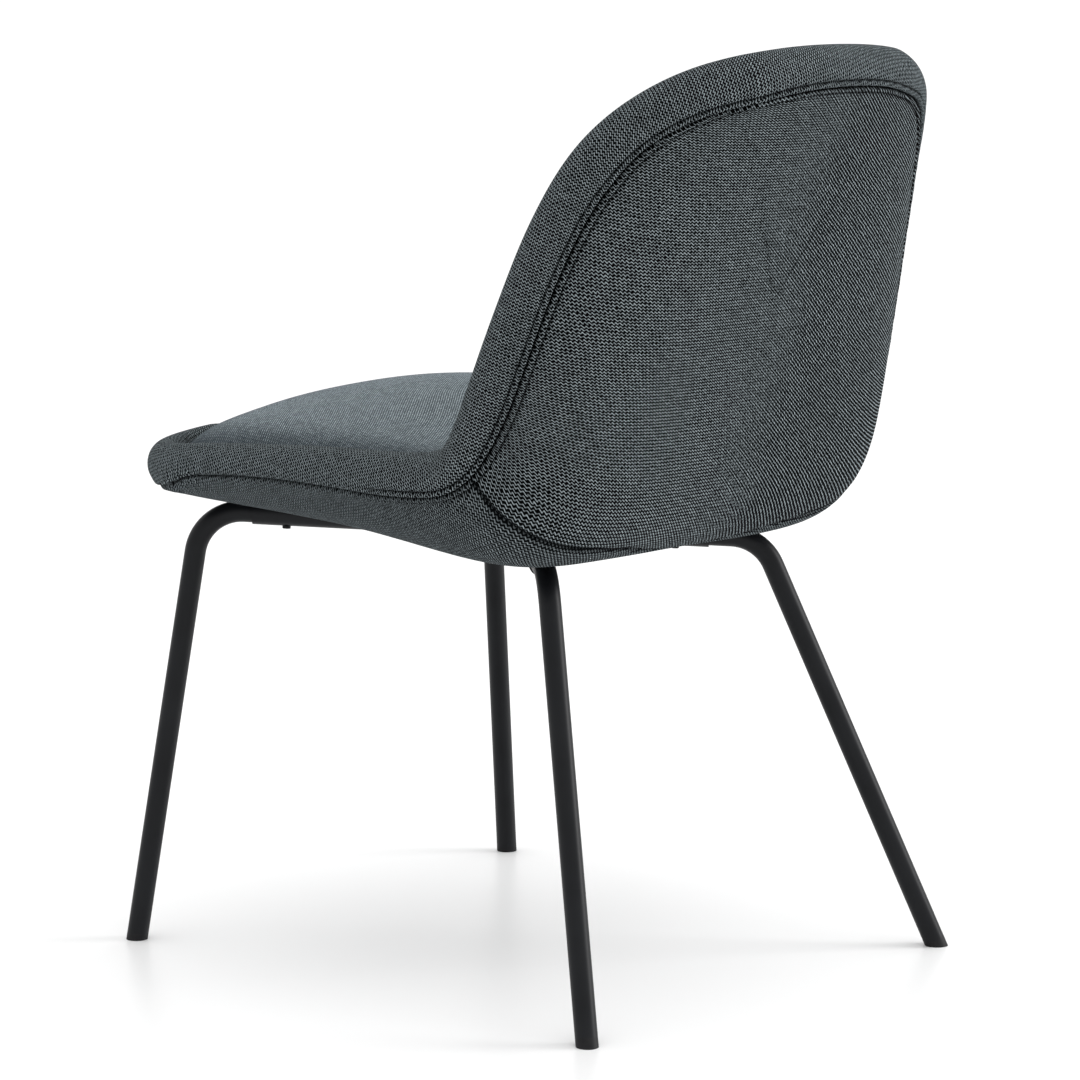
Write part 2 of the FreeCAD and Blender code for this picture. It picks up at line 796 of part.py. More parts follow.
def press_clear(solid, margin):
    for corner in ("front_left", "front_right"):
        solid = solid.cut(member_cutter(corner, margin))
    for corner in CORNERS:
        solid = solid.cut(bend_cutter(corner, margin))
    half = size("plate_side") / 2 + 2 * margin
    corner_point = plate_point(-half, -half, -2)
    block = Part.makeBox(2 * half, 2 * half, 2 + size("plate_thickness") + margin)
    block.Placement = Placement(corner_point, PLATE_ROTATION)
    return solid.cut(block)


# Padding and covers on the sitter's side.
CORE_TOP = BOARD_HALF + GAP
INNER_DEPTH = FABRIC + GAP
seat_foam = layer(
    lambda u, v: front_point(u, v, INNER_DEPTH),
    lambda u, v: mid_point(u, v, CORE_TOP),
    0.0, SEAT_END, 22,
)
for angle in BOLT_ANGLES:
    flange_top = seat_levels[angle][1] + 0.4 + size("nut_flange_thickness")
    seat_foam = seat_foam.cut(bolt_cylinder(angle, FLANGE_R + GAP, 0, flange_top))
add_shape("seat_foam", seat_foam)
add_shape("back_foam", layer(
    lambda u, v: front_point(u, v, INNER_DEPTH),
    lambda u, v: mid_point(u, v, CORE_TOP),
    BACK_START, 1.0, 22,
))
add_shape("seat_cover", layer(
    lambda u, v: front_point(u, v, 0),
    lambda u, v: front_point(u, v, FABRIC),
    0.0, SEAT_END, 22,
))
add_shape("back_inner_cover", layer(
    lambda u, v: front_point(u, v, 0),
    lambda u, v: front_point(u, v, FABRIC),
    BACK_START, 1.0, 22,
))

# Padding and covers on the outer side.
SEAM_GAP = 0.002


def below_seam(u):
    return rear_seam(u) - SEAM_GAP


def above_seam(u):
    return rear_seam(u) + SEAM_GAP


under_foam = layer(
    lambda u, v: mid_point(u, v, -CORE_TOP),
    lambda u, v: rear_point(u, v, INNER_DEPTH),
    0.0, below_seam, 24,
)
add_shape("under_foam", drill(press_clear(under_foam, GAP), SPACER_R + GAP))
under_cover = layer(
    lambda u, v: rear_point(u, v, FABRIC),
    lambda u, v: rear_point(u, v, 0),
    0.0, below_seam, 24,
)
add_shape("under_cover", drill(press_clear(under_cover, GAP), SPACER_R + GAP))
add_shape("back_outer_foam", layer(
    lambda u, v: mid_point(u, v, -CORE_TOP),
    lambda u, v: rear_point(u, v, INNER_DEPTH),
    above_seam, 1.0, 22,
))
add_shape("back_outer_cover", layer(
    lambda u, v: rear_point(u, v, FABRIC),
    lambda u, v: rear_point(u, v, 0),
    above_seam, 1.0, 22,
))

# Rolled rim: a foam roll along the edge of the board and the fabric band round it.
FOAM_ROLL_R = RIM_R - INNER_DEPTH
add_shape("rim_foam", half_round_ring(roll_rows(FOAM_ROLL_R, -90, 90, 8, 2 * GAP)))
add_shape("rim_cover", ring_between(
    roll_rows(RIM_R, -90, 90, 8, GAP),
    roll_rows(RIM_R - FABRIC, -90, 90, 8, GAP),
))

doc.recompute()

faults = []
for obj in doc.Objects:
    if "Invalid" in obj.State or "Error" in obj.State:
        faults.append("%s %s" % (obj.Name, obj.State))
for obj in parts:
    if obj.Shape.isNull() or not obj.Shape.isValid():
        faults.append("%s shape" % obj.Label)
if faults:
    raise RuntimeError("; ".join(faults))

os.makedirs("parts", exist_ok=True)
for obj in parts:
    obj.Shape.exportStep("parts/%s.step" % obj.Label)
    box = obj.Shape.BoundBox
    print("%-22s solids %d volume %.0f y %.1f..%.1f z %.1f..%.1f" % (
        obj.Label, len(obj.Shape.Solids), obj.Shape.Volume, box.YMin, box.YMax, box.ZMin, box.ZMax))
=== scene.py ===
import math

import bmesh
import bpy
import numpy as np
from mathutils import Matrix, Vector


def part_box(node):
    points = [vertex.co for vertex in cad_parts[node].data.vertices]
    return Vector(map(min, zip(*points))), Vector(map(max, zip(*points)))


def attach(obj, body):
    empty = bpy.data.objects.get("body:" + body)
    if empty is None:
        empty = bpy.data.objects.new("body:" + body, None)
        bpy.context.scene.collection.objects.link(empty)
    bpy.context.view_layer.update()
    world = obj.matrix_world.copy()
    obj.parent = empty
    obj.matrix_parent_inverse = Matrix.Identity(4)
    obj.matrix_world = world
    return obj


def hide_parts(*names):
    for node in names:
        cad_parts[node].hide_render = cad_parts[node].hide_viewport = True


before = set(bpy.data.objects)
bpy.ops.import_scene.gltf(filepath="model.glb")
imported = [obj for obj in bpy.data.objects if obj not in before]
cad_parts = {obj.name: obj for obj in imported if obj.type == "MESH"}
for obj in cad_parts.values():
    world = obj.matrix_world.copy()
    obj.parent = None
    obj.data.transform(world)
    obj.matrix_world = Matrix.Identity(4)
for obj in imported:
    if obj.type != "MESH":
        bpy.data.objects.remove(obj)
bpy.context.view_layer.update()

# Upholstered dining chair. Metres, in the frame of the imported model:
# +Z up, floor at z = 0, the seat's front faces -Y, the sitter's left is +X.


# ---------------------------------------------------------------------------
# Form of the padded shell. Two guide curves run from the front edge of the
# seat to the top of the back; a section between them is a power curve.

SHIFT_Y = -0.028867
RIM_R = 0.024
WIDTH = 0.247
FRONT = -0.266
TOP = 0.783
INNER_POWER = 2.4
SEAT_CROWN = 0.060
BACK_CROWN = 0.006
CROWN_POWER = 0.6
CROWN_FADE = 0.15
PAD_END = 0.50
# Distance from the widest line of the rolled rim to where it meets the flat of the shell.
QUARTER = RIM_R * math.pi / 2

CENTRE_GUIDE = np.array([
    (0, FRONT, 0.430), (0, FRONT + 0.012, 0.426), (0, FRONT + 0.052, 0.422), (0, FRONT + 0.136, 0.418),
    (0, -0.012, 0.413), (0, 0.093, 0.396), (0, 0.165, 0.391), (0, 0.202, 0.426), (0, 0.220, 0.528),
    (0, 0.245, 0.605), (0, 0.270, 0.684), (0, 0.293, TOP - 0.045), (0, 0.310, TOP - 0.017), (0, 0.322, TOP),
])
RIM_GUIDE = np.array([
    (WIDTH - 0.101, FRONT + 0.007, 0.434), (WIDTH - 0.048, FRONT + 0.009, 0.431),
    (WIDTH - 0.010, FRONT + 0.040, 0.430), (WIDTH - 0.002, FRONT + 0.129, 0.440), (WIDTH, -0.006, 0.449),
    (WIDTH, 0.084, 0.450), (WIDTH - 0.004, 0.142, 0.456), (WIDTH - 0.009, 0.158, 0.492),
    (WIDTH - 0.014, 0.175, 0.539), (WIDTH - 0.029, 0.203, 0.628), (WIDTH - 0.050, 0.233, TOP - 0.079),
    (WIDTH - 0.081, 0.266, TOP - 0.034), (WIDTH - 0.119, 0.295, TOP - 0.012),
    (WIDTH - 0.157, 0.312, TOP - 0.005),
])
OUTER_POWER_GUIDE = np.array([4.5, 5.4, 9.0, 8.0, 4.5, 3.4, 2.5, 2.4])


def spline(poles, at):
    """Clamped uniform cubic B-spline through its control points, at values from 0 to 1."""
    poles = np.asarray(poles, float)
    spans = len(poles) - 3
    knots = np.concatenate([np.zeros(3), np.linspace(0, 1, spans + 1), np.ones(3)])
    at = np.clip(np.asarray(at, float), 0, 1 - 1e-9)
    basis = [((at >= knots[i]) & (at < knots[i + 1])).astype(float) for i in range(len(knots) - 1)]
    for degree in (1, 2, 3):
        raised = []
        for i in range(len(knots) - 1 - degree):
            value = np.zeros_like(at)
            left = knots[i + degree] - knots[i]
            right = knots[i + degree + 1] - knots[i + 1]
            if left > 0:
                value = value + (at - knots[i]) / left * basis[i]
            if right > 0:
                value = value + (knots[i + degree + 1] - at) / right * basis[i + 1]
            raised.append(value)
        basis = raised
    weights = np.stack(basis, -1)
    return weights @ poles


def section(u, v, power):
    """Points of the shell's middle surface: u from -1 to 1 across it, v from the front edge to the top."""
    centre = spline(CENTRE_GUIDE, v)
    rim = spline(RIM_GUIDE, v)
    share = np.abs(u) ** power
    y = centre[:, 1] + (rim[:, 1] - centre[:, 1]) * share + SHIFT_Y
    z = centre[:, 2] + (rim[:, 2] - centre[:, 2]) * share
    return np.stack([u * rim[:, 0], y, z], -1)


def unit(vectors):
    return vectors / np.maximum(np.linalg.norm(vectors, axis=-1, keepdims=True), 1e-12)


# The slope along the shell is read at this share of the way from its middle to the rim.
NORMAL_SHARE = 0.72


def section_normal(u, v, power):
    """Unit normal of the middle surface, towards the sitter."""
    step = 1e-4
    across_u = np.clip(u, -0.999, 0.999)
    along_v = np.clip(v, 2 * step, 1 - 2 * step)
    across = section(across_u + step, v, power) - section(across_u - step, v, power)
    near = NORMAL_SHARE * u
    along = section(near, along_v + step, power) - section(near, along_v - step, power)
    along[:, 0] = 0
    return unit(np.cross(across, along))


def ease(value):
    """Smooth step from 0 to 1."""
    value = np.clip(value, 0, 1)
    return value * value * (3 - 2 * value)


def crown(u, v):
    """Extra height of the pads on the sitter's side."""
    seat = np.where(v < PAD_END, np.sin(np.pi * np.clip(v / PAD_END, 0, 1)), 0)
    seat = SEAT_CROWN * np.maximum(seat, 0) ** CROWN_POWER
    back = BACK_CROWN * ease((v - PAD_END) / CROWN_FADE) * ease((1 - v) / CROWN_FADE)
    return (1 - u * u) * (seat + back)


# Share of the half width over which the outer side turns into the roll.
OUTER_EDGE = 0.12


def outer_surface(u, v):
    """Finished outer side of the padding, with its normal away from the sitter."""
    power = spline(OUTER_POWER_GUIDE, v)
    share = ease((1 - np.abs(u)) / OUTER_EDGE)[:, None]
    plain = section_normal(u, v, INNER_POWER)
    normal = unit(section_normal(u, v, power) * share + plain * (1 - share))
    return section(u, v, power) - normal * RIM_R, -normal


def inner_surface(u, v):
    """Finished side towards the sitter, with its normal towards the sitter."""
    normal = section_normal(u, v, INNER_POWER)
    return section(u, v, INNER_POWER) + normal * (RIM_R + crown(u, v))[:, None], normal


# ---------------------------------------------------------------------------
# Outline of the shell, evenly spaced, from the middle of the front edge round
# the sitter's left side to the top and back down the right side.

STATIONS = 760


def make_outline():
    """(u, v) of the stations, and the length of the whole outline."""
    fine_u = np.concatenate([np.arange(80) / 80, np.ones(901), 1 - np.arange(1, 61) / 60])
    fine_v = np.concatenate([np.zeros(80), np.linspace(0, 1, 901), np.ones(60)])
    points = section(fine_u, fine_v, INNER_POWER)
    travelled = np.concatenate([[0], np.cumsum(np.linalg.norm(np.diff(points, axis=0), axis=1))])
    half = STATIONS // 2
    targets = np.linspace(0, travelled[-1], half + 1)
    u = np.interp(targets, travelled, fine_u)
    v = np.interp(targets, travelled, fine_v)
    u = np.concatenate([u, -u[-2:0:-1]])
    v = np.concatenate([v, v[-2:0:-1]])
    return u, v, travelled[-1] * 2


def smooth_loop(values, times):
    """Averages each station's value with its neighbours' round the outline."""
    for _ in range(times):
        values = (np.roll(values, 1, 0) + 2 * values + np.roll(values, -1, 0)) / 4
    return values


# Place, and normal, tangent and outward direction, of the widest line at each station.
LOOP_U, LOOP_V, LOOP_LENGTH = make_outline()
LOOP_P = section(LOOP_U, LOOP_V, INNER_POWER)
LOOP_N = unit(smooth_loop(section_normal(LOOP_U, LOOP_V, INNER_POWER), 6))
LOOP_T = unit(np.roll(LOOP_P, -1, 0) - np.roll(LOOP_P, 1, 0))
LOOP_E = unit(smooth_loop(unit(np.cross(LOOP_T, LOOP_N)), 4))

# Flat chart of the shell: x across it, and the distance along the middle guide.
CHART_V = np.linspace(0, 1, 600)
GUIDE_POINTS = spline(CENTRE_GUIDE, CHART_V)
CHART_S = np.concatenate([[0], np.cumsum(np.linalg.norm(np.diff(GUIDE_POINTS, axis=0), axis=1))])


def to_chart(u, v):
    return np.stack([u * spline(RIM_GUIDE, v)[:, 0], np.interp(v, CHART_V, CHART_S)], -1)


def from_chart(chart):
    v = np.interp(chart[:, 1], CHART_S, CHART_V)
    u = np.clip(chart[:, 0] / spline(RIM_GUIDE, v)[:, 0], -1, 1)
    return u, v


LOOP_C = to_chart(LOOP_U, LOOP_V)
LOOP_CT = unit(np.roll(LOOP_C, -1, 0) - np.roll(LOOP_C, 1, 0))
LOOP_IN = unit(smooth_loop(np.stack([-LOOP_CT[:, 1], LOOP_CT[:, 0]], -1), 10))
INSETS = np.array([0.0, 0.004, 0.008, 0.013, 0.020, 0.028, 0.038, 0.050])
INSET_REACH = 0.07
INSET_STEPS = 36


def inset_table(surface):
    """(u, v) of the points of a surface that lie a given distance in from the outline."""
    reach = np.linspace(0, INSET_REACH, INSET_STEPS)
    charts = LOOP_C[None] + LOOP_IN[None] * reach[:, None, None]
    points = []
    for chart in charts:
        u, v = from_chart(chart)
        points.append(surface(u, v)[0])
    points = np.array(points)
    travelled = np.zeros(points.shape[:2])
    travelled[1:] = np.cumsum(np.linalg.norm(np.diff(points, axis=0), axis=2), axis=0)
    us, vs = [], []
    for inset in INSETS:
        share = np.array([np.interp(inset, travelled[:, i], reach) for i in range(STATIONS)])
        share = smooth_loop(share, 4)
        u, v = from_chart(LOOP_C + LOOP_IN * share[:, None])
        us.append(u)
        vs.append(v)
    return np.array(us), np.array(vs)


TABLES = {"outer": inset_table(outer_surface), "inner": inset_table(inner_surface)}
SURFACES = {"outer": outer_surface, "inner": inner_surface}


def table_lookup(side, at, inset):
    """(u, v) of the points that lie an inset in from the outline, at their stations."""
    us, vs = TABLES[side]
    level = np.interp(inset, INSETS, np.arange(len(INSETS)))
    low = np.clip(np.floor(level).astype(int), 0, len(INSETS) - 2)
    share = level - low
    column = np.round(at).astype(int) % STATIONS
    u = us[low, column] * (1 - share) + us[low + 1, column] * share
    v = vs[low, column] * (1 - share) + vs[low + 1, column] * share
    return u, v


# The blend from roll to flat starts ROLL_LEAD before the roll's end and is ROLL_BLEND long.
ROLL_LEAD = 0.002
ROLL_BLEND = 0.006


def skin_point(side, at, arc):
    """Point and normal, arc metres from the widest line of the roll, at a station."""
    sign = 1.0 if side == "inner" else -1.0
    centre, outward, normal = LOOP_P[at], LOOP_E[at], LOOP_N[at] * sign
    angle = np.minimum(arc, QUARTER) / RIM_R
    direction = outward * np.cos(angle)[:, None] + normal * np.sin(angle)[:, None]
    roll = centre + direction * RIM_R
    u, v = table_lookup(side, at, np.maximum(arc - QUARTER, 0))
    flat, flat_normal = SURFACES[side](u, v)
    share = ease((arc - QUARTER + ROLL_LEAD) / ROLL_BLEND)[:, None]
    return roll * (1 - share) + flat * share, unit(direction * (1 - share) + flat_normal * share)


# ---------------------------------------------------------------------------
# Seams, as distances from the widest line of the rolled rim.

# The stitched seam of the outer side: v along the outline, and the seam's distance there.
# It runs close to the widest line at the seat's sides, and just past the roll at the back.
SEAM_GUIDE = np.array([
    (0, 0.026), (0.09, 0.024), (0.125, 0.018), (0.15, 0.010), (0.20, 0.011), (0.245, 0.0145),
    (0.28, 0.0185), (0.31, 0.0215), (0.34, 0.0245), (0.40, 0.0275), (0.46, 0.034), (0.53, 0.041),
    (0.60, 0.044), (0.84, 0.044), (0.93, 0.0385), (1.0, 0.034),
])
OUTER_SEAM = smooth_loop(np.interp(LOOP_V, SEAM_GUIDE[:, 0], SEAM_GUIDE[:, 1]), 10)
# The crease of the sitter's side, where the pads meet the roll.
INNER_SEAM = np.full(STATIONS, QUARTER + 0.008)

# The cross seam between back panel and underside is lowest in the middle.
CROSS_SEAM_V = 0.455
CROSS_SEAM_RISE = 0.038
CROSS_SEAM_SPREAD = 0.33
PAD_JOIN_V = 0.475


def back_seam_v(u):
    return CROSS_SEAM_V + CROSS_SEAM_RISE * (1 - np.exp(-((u / CROSS_SEAM_SPREAD) ** 2)))


def pad_join_v(u):
    return np.full(len(u), PAD_JOIN_V)


# ---------------------------------------------------------------------------
# Fine form of the cloth near its seams.

# Widths and heights of the two puffed strips between the seam and its top stitching.
STRIP_ON_PANEL = 0.0058
STRIP_ON_BAND = 0.0062
PANEL_PUFF = 0.0014
BAND_PUFF = 0.0016
# How far the crease between the roll and the pads is pulled in.
PAD_DIP = smooth_loop(0.0115 - 0.0060 * ease((LOOP_V - 0.45) / 0.2), 8)
PAD_DIP_REACH = 0.020
BAND_DIP_REACH = 0.013
LOOP_D = np.arange(STATIONS) / STATIONS * LOOP_LENGTH
# Share of double stitching: none along the seat, all of it round the back.
DOUBLE_STITCH = smooth_loop(ease((LOOP_V - 0.29) / 0.10), 8)
# Share of deep gathers: only at the front corners.
CORNER = smooth_loop(ease((LOOP_V - 0.085) / 0.03) * ease((0.18 - LOOP_V) / 0.03), 4)


def bump(distance, centre, width):
    """Rounded peak of height 1."""
    return np.exp(-(((distance - centre) / width) ** 2))


PUCKER = 0.00016
PUCKER_REACH = 0.010
GATHER = 0.0016
GATHER_REACH = 0.009


# Depth and width of the dips at the stitched seam, its top stitching and the cross seam.
SEAM_DIPS = ((0.0024, 0.0012), (0.0008, 0.0040))
STITCH_DIPS = ((0.0014, 0.0008), (0.0005, 0.0030))
CROSS_DIPS = ((0.0022, 0.0013), (0.0008, 0.0050))
# Depth and reach of the dip where the two pads meet.
JOIN_DIPS = ((0.0060, 0.0040), (0.0040, 0.0180))
# Depth and reach of the tuck of the pads and the roll into the crease between them.
TUCK = 0.004
TUCK_REACH = 0.003


def dip(distance, sizes):
    """Depth of rounded dips at a line."""
    return sum(depth * bump(distance, 0, width) for depth, width in sizes)


def tuck(distance):
    return np.exp(-distance / TUCK_REACH)


def pucker(at, distance):
    """Small gathers along a stitched seam, deeper round the front corners."""
    along = LOOP_D[at]
    wave = np.sin(along / 0.0021 + 1.7 * np.sin(along / 0.031)) + 0.6 * np.sin(along / 0.0047 + 1.1)
    gathers = np.sin(along / 0.00125 + 0.8 * np.sin(along / 0.009))
    fine = PUCKER * wave * np.exp(-np.abs(distance) / PUCKER_REACH)
    return fine + GATHER * CORNER[at] * gathers * np.exp(-np.abs(distance) / GATHER_REACH)


def strip_relief(at, distance, width, height):
    """Puffy strip between the seam and its top stitching."""
    double = DOUBLE_STITCH[at]
    seam = -dip(distance, SEAM_DIPS)
    inside = np.clip(distance / width, 0, 1)
    puff = height * np.sin(np.pi * inside) ** 0.7
    stitch = -dip(distance - width, STITCH_DIPS)
    single = 0.0008 * bump(distance, 0.004, 0.003)
    return seam + double * (puff + stitch) + (1 - double) * single


def strip_seam_shade(at, distance, width):
    """Share of shade in the seam and the top stitching, from 0 to 1."""
    double = DOUBLE_STITCH[at]
    seam = bump(distance, 0, 0.0010) + 0.12 * bump(distance, 0, 0.0030)
    stitch = double * (0.8 * bump(distance, width, 0.0008) + 0.1 * bump(distance, width, 0.0024))
    return np.clip(seam * (0.5 + 0.5 * double) + stitch, 0, 1)


SHORT_WAVE = 0.00016
LONG_WAVE = 0.00035


def slow_waves(points):
    """Slight unevenness of the stretched cloth."""
    x, y, z = points[:, 0], points[:, 1], points[:, 2]
    first = np.sin(x / 0.021 + 2 * z / 0.05) * np.sin(z / 0.027 + y / 0.033)
    second = np.sin(x / 0.047 + 0.7) * np.sin(z / 0.061 + y / 0.043 + 1.3)
    return SHORT_WAVE * first + LONG_WAVE * second


# Tubes and plate under the seat press into the soft underside. A knee is where a leg bends
# into its socket; each socket tube runs from a front knee to the rear knee across from it.
FRONT_KNEE = (0.1847, -0.2372, 0.386)
REAR_KNEE = (0.1383, 0.1388, 0.364)
SOCKET_R = 0.0110
SOCKET_LEAD = 0.012
SOCKET_LENGTH = 0.53
PRESS_GAP = 0.0006
PLATE_THICKNESS = 0.003
PLATE_MARGIN = 0.0015
PLATE_LOWEST = 0.36


def press_flat(points):
    """Lifts what would lie inside the tubes or the plate on to their upper faces."""
    points = points.copy()
    shift = np.array([0, SHIFT_Y, 0])
    plate_low, plate_high = (np.array(corner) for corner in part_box("mounting_plate"))
    for side in (1, -1):
        start = np.array(FRONT_KNEE) * (side, 1, 1) + shift
        end = np.array(REAR_KNEE) * (-side, 1, 1) + shift
        along = unit(end - start)
        start = start - along * SOCKET_LEAD
        reach = (points - start) @ along
        offset = points - start - reach[:, None] * along
        across = np.linalg.norm(offset[:, :2], axis=1)
        inside = (across < SOCKET_R + PRESS_GAP) & (reach > 0) & (reach < SOCKET_LENGTH)
        top = np.sqrt(np.maximum((SOCKET_R + PRESS_GAP) ** 2 - across ** 2, 0))
        floor = start[2] + reach * along[2] + top
        points[:, 2] = np.where(inside & (points[:, 2] < floor), floor, points[:, 2])
    tilt = (plate_high[2] - PLATE_THICKNESS - plate_low[2]) / (plate_high[1] - plate_low[1])
    level = plate_high[2] + PRESS_GAP - (points[:, 1] - plate_low[1]) * tilt
    over = np.abs(points[:, 0]) < plate_high[0] + PLATE_MARGIN
    over &= (points[:, 1] > plate_low[1] - PLATE_MARGIN) & (points[:, 1] < plate_high[1] + PLATE_MARGIN)
    over &= (points[:, 2] < level) & (points[:, 2] > PLATE_LOWEST)
    points[:, 2] = np.where(over, level, points[:, 2])
    return points


# ---------------------------------------------------------------------------
# Mesh building.

# Distances from a seam of the rows of points near it, where the form is fine.
NEAR_ROWS = np.array([
    0, 0.5, 1.0, 1.6, 2.3, 3.0, 3.7, 4.3, 4.8, 5.3, 5.9, 6.5, 7.2, 8.2, 9.6, 11.5,
]) / 1000
FAR_ROWS = 14
DEEP_ROWS = 52
SIDE_INSET = INSETS[-1]
# Distance along the chart from either end to the end of the line that the deep rows close on.
MIDDLE_END = 0.20
# Extra distance from the seam across the deep rows, past all that is drawn by that distance.
DEEP_DISTANCE = 0.15

# Share of true length, not chart length, in the run of the weave: all of it round the seat's
# outer side, and none elsewhere.
TRUE_RUN = {
    "outer": smooth_loop(1 - ease((LOOP_V - 0.42) / 0.10), 8)[:, None],
    "inner": np.zeros((STATIONS, 1)),
}


def panel_grid(side, seam):
    """Rows of points from a seam of the rim to the middle of the shell."""
    every = np.arange(STATIONS)
    rows = []
    end = QUARTER + SIDE_INSET
    arcs = [seam + near for near in NEAR_ROWS]
    last = arcs[-1]
    for i in range(1, FAR_ROWS + 1):
        arcs.append(last + (end - last) * i / FAR_ROWS)
    for arc in arcs:
        points, normals = skin_point(side, every, arc)
        u, v = table_lookup(side, every, np.maximum(arc - QUARTER, 0))
        along = LOOP_C + LOOP_IN * (arc - QUARTER)[:, None]
        flat = np.where((arc > QUARTER)[:, None], to_chart(u, v), along)
        chart = flat + (along - flat) * TRUE_RUN[side]
        rows.append((points, normals, arc - seam, u, v, chart))
    border_u, border_v = table_lookup(side, every, np.full(STATIONS, SIDE_INSET))
    border = to_chart(border_u, border_v)
    stretch = rows[-1][5] - border
    middle = np.clip(border[:, 1], MIDDLE_END, CHART_S[-1] - MIDDLE_END)
    target = np.stack([0 * middle, middle], -1)
    for i in range(1, DEEP_ROWS + 1):
        share = i / DEEP_ROWS
        chart = border + (target - border) * share
        u, v = from_chart(chart)
        points, normals = SURFACES[side](u, v)
        distance = arcs[-1] - seam + share * DEEP_DISTANCE
        rows.append((points, normals, distance, u, v, chart + stretch * (1 - share)))
    return rows


def cut_panel(rows, seam_v):
    """The two pieces of a panel, on either side of a seam that crosses the shell."""
    count = STATIONS
    stacked = [np.concatenate([row[k] for row in rows]) for k in range(6)]
    points, normals, distance, u, v, chart = stacked
    across = (v - seam_v(u)) * CHART_S[-1]
    station = np.tile(np.arange(count), len(rows))
    pieces = []
    for keep_sign in (1, -1):
        mesh = bmesh.new()
        layers = {name: mesh.verts.layers.float_vector.new(name) for name in ("pos", "nrm", "uvd")}
        extra = mesh.verts.layers.float_vector.new("extra")
        verts = []
        for i in range(len(points)):
            vert = mesh.verts.new((across[i], station[i] * 0.01, (i // count) * 0.01))
            vert[layers["pos"]] = points[i]
            vert[layers["nrm"]] = normals[i]
            vert[layers["uvd"]] = (chart[i, 0], chart[i, 1], distance[i])
            vert[extra] = (station[i], across[i], v[i])
            verts.append(vert)
        for r in range(len(rows) - 1):
            for i in range(count):
                j = (i + 1) % count
                ring = (r * count + i, r * count + j, (r + 1) * count + j, (r + 1) * count + i)
                side_of = [across[k] * keep_sign for k in ring]
                if max(side_of) > 0:
                    mesh.faces.new([verts[k] for k in ring])
        geometry = list(mesh.verts) + list(mesh.edges) + list(mesh.faces)
        bmesh.ops.bisect_plane(
            mesh, geom=geometry, dist=1e-7, plane_co=(0, 0, 0), plane_no=(-keep_sign, 0, 0),
            clear_outer=True, clear_inner=False,
        )
        loose = [vert for vert in mesh.verts if not vert.link_faces]
        bmesh.ops.delete(mesh, geom=loose, context="VERTS")
        mesh.verts.ensure_lookup_table()
        mesh.verts.index_update()
        data = {
            "pos": np.array([vert[layers["pos"]] for vert in mesh.verts]),
            "nrm": unit(np.array([vert[layers["nrm"]] for vert in mesh.verts])),
            "uvd": np.array([vert[layers["uvd"]] for vert in mesh.verts]),
            "extra": np.array([vert[extra] for vert in mesh.verts]),
            "faces": [[vert.index for vert in face.verts] for face in mesh.faces],
        }
        mesh.free()
        pieces.append(data)
    return pieces


def weld(positions, faces, tolerance=1e-5):
    """Joins points that share a place, and drops faces that collapse."""
    keys = np.round(positions / tolerance).astype(np.int64)
    _, first, inverse = np.unique(keys, axis=0, return_index=True, return_inverse=True)
    inverse = inverse.ravel()
    clean = []
    for face in faces:
        ring = []
        for index in face:
            mapped = int(first[inverse[index]])
            if not ring or ring[-1] != mapped:
                ring.append(mapped)
        if ring[0] == ring[-1]:
            ring.pop()
        if len(set(ring)) == len(ring) and len(ring) > 2:
            clean.append(ring)
    return clean


def make_piece(name, positions, normals, uv, crease_shade, faces, thickness, flip):
    """Closed piece of padded cloth: the outer face, an inner face and the edges between."""
    faces = weld(positions, faces)
    if flip:
        faces = [face[::-1] for face in faces]
    used = sorted({index for face in faces for index in face})
    place = {index: k for k, index in enumerate(used)}
    faces = [[place[index] for index in face] for face in faces]
    positions, normals, uv, crease_shade = positions[used], normals[used], uv[used], crease_shade[used]
    count = len(used)
    edges = {}
    for face in faces:
        for a, b in zip(face, face[1:] + face[:1]):
            edges[(a, b)] = edges.get((a, b), 0) + 1
    border = [(a, b) for (a, b) in edges if (b, a) not in edges]
    all_faces = list(faces)
    all_faces += [[count + index for index in face[::-1]] for face in faces]
    all_faces += [[b, a, count + a, count + b] for a, b in border]
    everything = np.concatenate([positions, positions - normals * thickness])
    mesh = bpy.data.meshes.new(name)
    mesh.from_pydata(everything.tolist(), [], all_faces)
    layer = mesh.uv_layers.new(name="cloth")
    both = np.concatenate([uv, uv])
    loops = np.empty(len(mesh.loops), dtype=np.int32)
    mesh.loops.foreach_get("vertex_index", loops)
    layer.data.foreach_set("uv", both[loops].astype(np.float32).ravel())
    # Per-point painted shade for the cloth's colour, darkest in seams and creases.
    shade = mesh.attributes.new("crease_shade", "FLOAT", "POINT")
    shade.data.foreach_set("value", np.concatenate([crease_shade, crease_shade]).astype(np.float32))
    mesh.polygons.foreach_set("use_smooth", [True] * len(mesh.polygons))
    mesh.update()
    piece = bpy.data.objects.new(name, mesh)
    bpy.context.scene.collection.objects.link(piece)
    return piece


def settle(piece, material, fill, *nodes):
    piece.data.materials.append(material)
    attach(piece, "root")
    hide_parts(*nodes)


# ---------------------------------------------------------------------------
# Materials.

